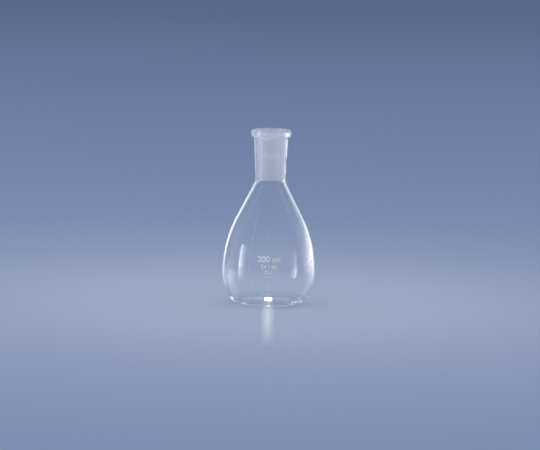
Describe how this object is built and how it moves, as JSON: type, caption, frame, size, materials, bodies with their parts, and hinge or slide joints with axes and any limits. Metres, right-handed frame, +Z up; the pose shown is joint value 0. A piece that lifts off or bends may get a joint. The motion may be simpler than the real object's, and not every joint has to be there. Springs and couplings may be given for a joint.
{
  "type": "recovery flask",
  "caption": "Clear glass pear-shaped laboratory flask with a flat base and a ground socket neck with a beaded rim, for collecting liquid under an evaporator or still.",
  "frame": {"origin": "centre of the base, on the plane that the flask stands on", "axes": "+Z up along the flask's axis, out of its mouth; -Y is the front, where the print is"},
  "size_m": [0.0742, 0.0742, 0.138],
  "materials": {
    "clear_glass": "clear borosilicate glass, ground white inside the neck",
    "white_enamel": "white fired print on the neck and the bulb"
  },
  "bodies": {
    "root": {"flask": "clear_glass"}
  },
  "joints": []
}
